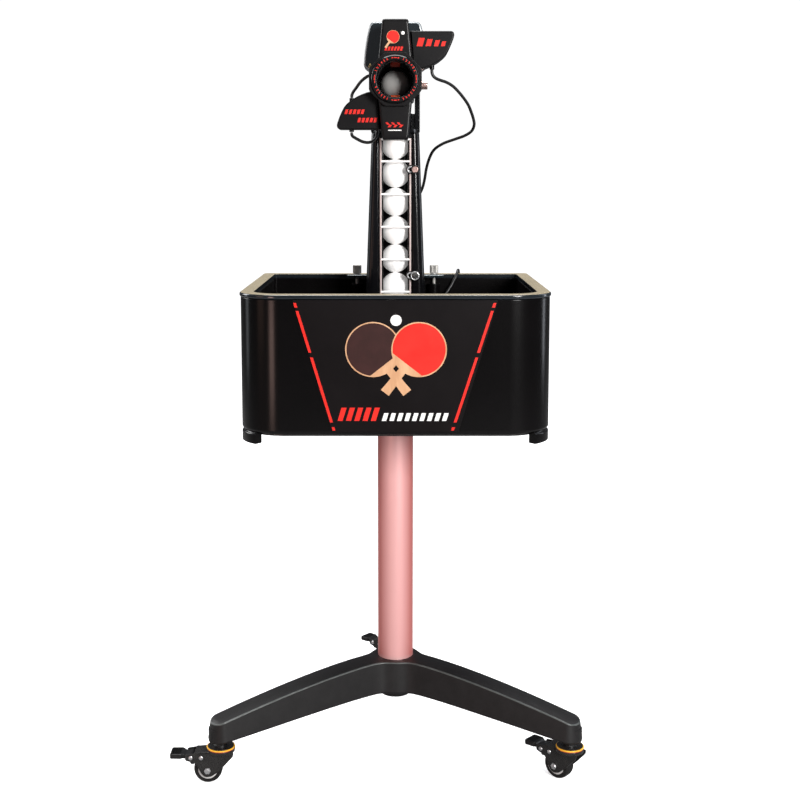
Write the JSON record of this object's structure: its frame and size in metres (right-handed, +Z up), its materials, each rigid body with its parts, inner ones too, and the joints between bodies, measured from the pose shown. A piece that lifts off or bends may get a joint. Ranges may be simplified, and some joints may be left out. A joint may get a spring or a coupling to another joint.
{
  "type": "table tennis robot",
  "caption": "Table tennis ball-throwing robot: a spinning head on a ball tower in an open square bin, on a round column with a three-legged caster base.",
  "frame": {"origin": "centre of the bounding box at floor level", "axes": "+Z up, the nozzle faces -Y, +X to the right as seen from the front"},
  "size_m": [0.5562, 0.5042, 1.0162],
  "materials": {
    "cast_black": "textured black powder coat",
    "column_metal": "satin rose anodised",
    "steel_black": "semi-gloss black",
    "bright_metal": "polished",
    "rubber": "matte",
    "bin_plastic": "glossy black",
    "rim_plastic": "glossy champagne",
    "panel": "satin black sheet",
    "tower_plastic": "glossy black",
    "head_plastic": "satin black",
    "housing_plastic": "glossy blue black",
    "ball_plastic": "matte white",
    "tyre": "matte orange red",
    "copper": "polished",
    "motor_steel": "brushed",
    "grey_plastic": "satin"
  },
  "bodies": {
    "stand": {"base_casting": "cast_black", "column_tube": "column_metal", "bin_carrier": "steel_black", "left_caster_stem": "bright_metal", "right_caster_stem": "bright_metal", "rear_caster_stem": "bright_metal", "bin_shell": "bin_plastic", "bin_rim": "rim_plastic", "front_panel": "panel", "feed_motor": "motor_steel", "tower_housing": "tower_plastic", "ball_cage": "bright_metal", "clamp_bracket": "housing_plastic", "sweep_motor": "motor_steel", "control_box": "head_plastic", "head_lead_right": "rubber", "bin_lead": "rubber"},
    "left_caster": {"left_caster_fork": "steel_black"},
    "left_wheel": {"left_caster_wheel": "rubber"},
    "left_pedal": {"left_caster_pedal": "rubber"},
    "right_caster": {"right_caster_fork": "steel_black"},
    "right_wheel": {"right_caster_wheel": "rubber"},
    "right_pedal": {"right_caster_pedal": "rubber"},
    "rear_caster": {"rear_caster_fork": "steel_black"},
    "rear_wheel": {"rear_caster_wheel": "rubber"},
    "rear_pedal": {"rear_caster_pedal": "rubber"},
    "feed_rotor": {"feed_rotor": "grey_plastic"},
    "ball_stack": {"ball_1": "ball_plastic", "ball_2": "ball_plastic", "ball_3": "ball_plastic", "ball_4": "ball_plastic", "ball_5": "ball_plastic", "ball_6": "ball_plastic", "ball_7": "ball_plastic", "ball_8": "ball_plastic"},
    "upper_latch": {"cage_latch_upper": "copper"},
    "lower_latch": {"cage_latch_lower": "bright_metal"},
    "left_thumbscrew": {"thumbscrew_left": "bright_metal"},
    "right_thumbscrew": {"thumbscrew_right": "bright_metal"},
    "turntable": {"sweep_yoke": "housing_plastic"},
    "drive_roller": {"sweep_roller": "rubber"},
    "tilt_head": {"elbow": "head_plastic", "head_cover_rear": "housing_plastic"},
    "lock_knob": {"tilt_knob": "copper"},
    "spin_head": {"barrel": "head_plastic", "spin_dial": "head_plastic", "upper_cover": "head_plastic", "lower_cover": "head_plastic", "upper_wing": "head_plastic", "lower_wing": "head_plastic", "upper_motor": "motor_steel", "lower_motor": "motor_steel", "head_lead_left_upper": "rubber", "head_lead_left_lower": "rubber"},
    "upper_spin_wheel": {"upper_friction_wheel": "tyre"},
    "lower_spin_wheel": {"lower_friction_wheel": "tyre"},
    "loaded_ball": {"ball_in_barrel": "ball_plastic"},
    "rocker": {"power_switch": "rubber"}
  },
  "joints": [
    {"name": "left_swivel", "type": "hinge", "parent": "stand", "child": "left_caster", "pos_m": [-0.21374, -0.20513, 0.045], "axis": [0, 0, 1], "continuous": true},
    {"name": "left_roll", "type": "hinge", "parent": "left_caster", "child": "left_wheel", "pos_m": [-0.23044, -0.20513, 0.01877], "axis": [0, -1, 0], "continuous": true},
    {"name": "left_brake", "type": "hinge", "parent": "left_caster", "child": "left_pedal", "pos_m": [-0.25274, -0.20513, 0.0365], "axis": [0, 1, 0], "range_deg": [0, 20]},
    {"name": "right_swivel", "type": "hinge", "parent": "stand", "child": "right_caster", "pos_m": [0.25391, -0.20513, 0.045], "axis": [0, 0, 1], "continuous": true},
    {"name": "right_roll", "type": "hinge", "parent": "right_caster", "child": "right_wheel", "pos_m": [0.2415, -0.19395, 0.01877], "axis": [-0.6691, -0.7431, 0], "continuous": true},
    {"name": "right_brake", "type": "hinge", "parent": "right_caster", "child": "right_pedal", "pos_m": [0.22493, -0.17903, 0.0365], "axis": [0.6691, 0.7431, 0], "range_deg": [0, 20]},
    {"name": "rear_swivel", "type": "hinge", "parent": "stand", "child": "rear_caster", "pos_m": [0.02008, 0.19987, 0.045], "axis": [0, 0, 1], "continuous": true},
    {"name": "rear_roll", "type": "hinge", "parent": "rear_caster", "child": "rear_wheel", "pos_m": [0.00729, 0.2106, 0.01877], "axis": [-0.6428, -0.766, 0], "continuous": true},
    {"name": "rear_brake", "type": "hinge", "parent": "rear_caster", "child": "rear_pedal", "pos_m": [-0.00979, 0.22494, 0.0365], "axis": [0.6428, 0.766, 0], "range_deg": [0, 20]},
    {"name": "feed_turn", "type": "hinge", "parent": "stand", "child": "feed_rotor", "pos_m": [0.02008, -0.06213, 0.515], "axis": [0, 0, 1], "continuous": true},
    {"name": "ball_lift", "type": "slide", "parent": "stand", "child": "ball_stack", "axis": [0, 0, 1], "range_m": [0, 0.02]},
    {"name": "upper_latch_turn", "type": "hinge", "parent": "stand", "child": "upper_latch", "pos_m": [0.04758, -0.04113, 0.8156], "axis": [0, -1, 0], "range_deg": [0, 180]},
    {"name": "lower_latch_turn", "type": "hinge", "parent": "stand", "child": "lower_latch", "pos_m": [0.04758, -0.04113, 0.6672], "axis": [0, -1, 0], "range_deg": [0, 180]},
    {"name": "left_screw_turn", "type": "hinge", "parent": "stand", "child": "left_thumbscrew", "pos_m": [-0.03792, 0.08937, 0.66], "axis": [0, 0, 1], "continuous": true},
    {"name": "right_screw_turn", "type": "hinge", "parent": "stand", "child": "right_thumbscrew", "pos_m": [0.07808, 0.08937, 0.66], "axis": [0, 0, 1], "continuous": true},
    {"name": "head_yaw", "type": "hinge", "parent": "stand", "child": "turntable", "pos_m": [0.02008, -0.01213, 0.869], "axis": [0, 0, 1], "range_deg": [-20, 20], "deforming": ["head_lead_right"]},
    {"name": "roller_turn", "type": "hinge", "parent": "stand", "child": "drive_roller", "pos_m": [0.02008, 0.02677, 0.869], "axis": [0, 0, 1], "range_deg": [-150, 150]},
    {"name": "head_tilt", "type": "hinge", "parent": "turntable", "child": "tilt_head", "pos_m": [0.02008, -0.01213, 0.9335], "axis": [-1, 0, 0], "range_deg": [-10, 30], "deforming": ["head_lead_right"]},
    {"name": "knob_turn", "type": "hinge", "parent": "tilt_head", "child": "lock_knob", "pos_m": [0.06008, -0.01213, 0.9335], "axis": [1, 0, 0], "continuous": true},
    {"name": "head_roll", "type": "hinge", "parent": "tilt_head", "child": "spin_head", "pos_m": [0.02008, -0.07013, 0.9335], "axis": [0, -1, 0], "range_deg": [-90, 90], "deforming": ["head_lead_right"]},
    {"name": "upper_wheel_spin", "type": "hinge", "parent": "spin_head", "child": "upper_spin_wheel", "pos_m": [0.02008, -0.09413, 0.977], "axis": [1, 0, 0], "continuous": true},
    {"name": "lower_wheel_spin", "type": "hinge", "parent": "spin_head", "child": "lower_spin_wheel", "pos_m": [0.02008, -0.09413, 0.89], "axis": [1, 0, 0], "continuous": true},
    {"name": "ball_feed", "type": "slide", "parent": "spin_head", "child": "loaded_ball", "axis": [0, 1, 0], "range_m": [0, 0.012]},
    {"name": "rocker_press", "type": "hinge", "parent": "stand", "child": "rocker", "pos_m": [0.14108, 0.14817, 0.563], "axis": [1, 0, 0], "range_deg": [0, 8]}
  ],
  "couplings": [
    {"joint": "roller_turn", "follows": "head_yaw", "ratio": -7.3913}
  ]
}
